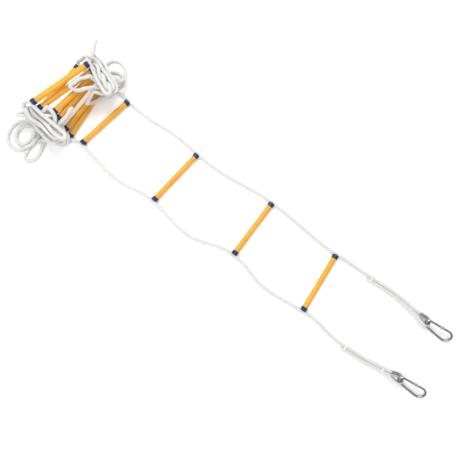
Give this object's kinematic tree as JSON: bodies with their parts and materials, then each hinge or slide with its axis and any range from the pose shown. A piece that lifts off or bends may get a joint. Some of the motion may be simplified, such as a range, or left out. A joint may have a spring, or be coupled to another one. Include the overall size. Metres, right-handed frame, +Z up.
{
  "type": "escape rope ladder",
  "caption": "Escape rope ladder: plastic rungs with end caps tied between side ropes, part laid out and part bundled, with thimble eyes and locking snap hooks.",
  "frame": {"origin": "middle of the top rung (the rung next to the snap hooks), on its axis", "axes": "+X along the laid-out ladder towards the snap hooks, +Y towards the left side rope, +Z up from the floor that the ladder lies on"},
  "size_m": [1.9488, 0.5434, 0.1872],
  "materials": {
    "rung_plastic": "ribbed satin plastic, yellow-orange",
    "cap_plastic": "moulded blue plastic",
    "rope": "braided synthetic rope, off-white",
    "tie_cord": "braided cord, off-white",
    "whipping_twine": "wound twine, off-white",
    "thimble_steel": "zinc-plated sheet",
    "hook_steel": "zinc-plated bar, bright",
    "gate_steel": "zinc-plated, bright",
    "sleeve_steel": "knurled, zinc-plated",
    "pin_steel": "plain steel"
  },
  "bodies": {
    "bundle": {"rung_05_tube": "rung_plastic", "rung_06_tube": "rung_plastic", "rung_07_tube": "rung_plastic", "rung_08_tube": "rung_plastic", "rung_09_tube": "rung_plastic", "rung_10_tube": "rung_plastic", "rung_11_tube": "rung_plastic", "rung_12_tube": "rung_plastic", "bundle_caps_left": "cap_plastic", "bundle_caps_right": "cap_plastic", "bundle_tie_cords": "tie_cord", "rope_coil_left": "rope", "rope_coil_right": "rope", "rung_04_tube": "rung_plastic", "rung_04_cap_left": "cap_plastic", "rung_04_cap_right": "cap_plastic", "rung_04_tie_cord": "tie_cord"},
    "bay_3": {"rope_bay_3_left": "rope", "rope_bay_3_right": "rope", "rung_03_tube": "rung_plastic", "rung_03_cap_left": "cap_plastic", "rung_03_cap_right": "cap_plastic", "rung_03_tie_cord": "tie_cord"},
    "bay_2": {"rope_bay_2_left": "rope", "rope_bay_2_right": "rope", "rung_02_tube": "rung_plastic", "rung_02_cap_left": "cap_plastic", "rung_02_cap_right": "cap_plastic", "rung_02_tie_cord": "tie_cord"},
    "bay_1": {"rope_bay_1_left": "rope", "rope_bay_1_right": "rope", "rung_01_tube": "rung_plastic", "rung_01_cap_left": "cap_plastic", "rung_01_cap_right": "cap_plastic", "rung_01_tie_cord": "tie_cord"},
    "eye_left": {"eye_rope_left": "rope", "thimble_left": "thimble_steel", "eye_seizings_left": "whipping_twine"},
    "eye_right": {"eye_rope_right": "rope", "thimble_right": "thimble_steel", "eye_seizings_right": "whipping_twine"},
    "hook_left": {"hook_body_left": "hook_steel"},
    "gate_left": {"hook_gate_left": "gate_steel", "gate_rivet_left": "pin_steel", "gate_spring_left": "pin_steel", "gate_plunger_left": "pin_steel"},
    "lock_left": {"lock_sleeve_left": "sleeve_steel"},
    "hook_right": {"hook_body_right": "hook_steel"},
    "gate_right": {"hook_gate_right": "gate_steel", "gate_rivet_right": "pin_steel", "gate_spring_right": "pin_steel", "gate_plunger_right": "pin_steel"},
    "lock_right": {"lock_sleeve_right": "sleeve_steel"}
  },
  "joints": [
    {"name": "fold_at_rung_4", "type": "hinge", "parent": "bundle", "child": "bay_3", "pos_m": [-1.086, 0.001, 0], "axis": [-0.1564, -0.9877, 0], "range_deg": [-95, 95]},
    {"name": "fold_at_rung_3", "type": "hinge", "parent": "bay_3", "child": "bay_2", "pos_m": [-0.714, -0.007, 0], "axis": [0.0976, 0.9952, 0], "range_deg": [-150, 150]},
    {"name": "fold_at_rung_2", "type": "hinge", "parent": "bay_2", "child": "bay_1", "pos_m": [-0.338, 0.014, 0], "axis": [0.0035, -1, 0], "range_deg": [-150, 150]},
    {"name": "fold_of_eye_left", "type": "hinge", "parent": "bay_1", "child": "eye_left", "pos_m": [0, 0, 0], "axis": [-0.0906, 0.9959, 0], "range_deg": [-150, 150]},
    {"name": "fold_of_eye_right", "type": "hinge", "parent": "bay_1", "child": "eye_right", "pos_m": [0, 0, 0], "axis": [-0.0906, 0.9959, 0], "range_deg": [-150, 150]},
    {"name": "hook_left_swing", "type": "hinge", "parent": "eye_left", "child": "hook_left", "pos_m": [0.432, 0.126, 0.006], "axis": [-0.0731, -0.8355, 0.5446], "range_deg": [-90, 90]},
    {"name": "gate_left_open", "type": "hinge", "parent": "hook_left", "child": "gate_left", "pos_m": [0.44559, 0.13946, 0.01597], "axis": [-0.0105, 0.6017, -0.7986], "range_deg": [0, 27]},
    {"name": "lock_left_slide", "type": "slide", "parent": "gate_left", "child": "lock_left", "axis": [0.9927, 0.102, 0.0638], "range_m": [0, 0.009]},
    {"name": "hook_right_swing", "type": "hinge", "parent": "eye_right", "child": "hook_right", "pos_m": [0.471, -0.113, 0.006], "axis": [0.1167, -0.8305, 0.5446], "range_deg": [-90, 90]},
    {"name": "gate_right_open", "type": "hinge", "parent": "hook_right", "child": "gate_right", "pos_m": [0.48411, -0.09907, 0.01597], "axis": [-0.0315, 0.601, -0.7986], "range_deg": [0, 27]},
    {"name": "lock_right_slide", "type": "slide", "parent": "gate_right", "child": "lock_right", "axis": [0.9886, 0.1365, 0.0638], "range_m": [0, 0.009]}
  ]
}
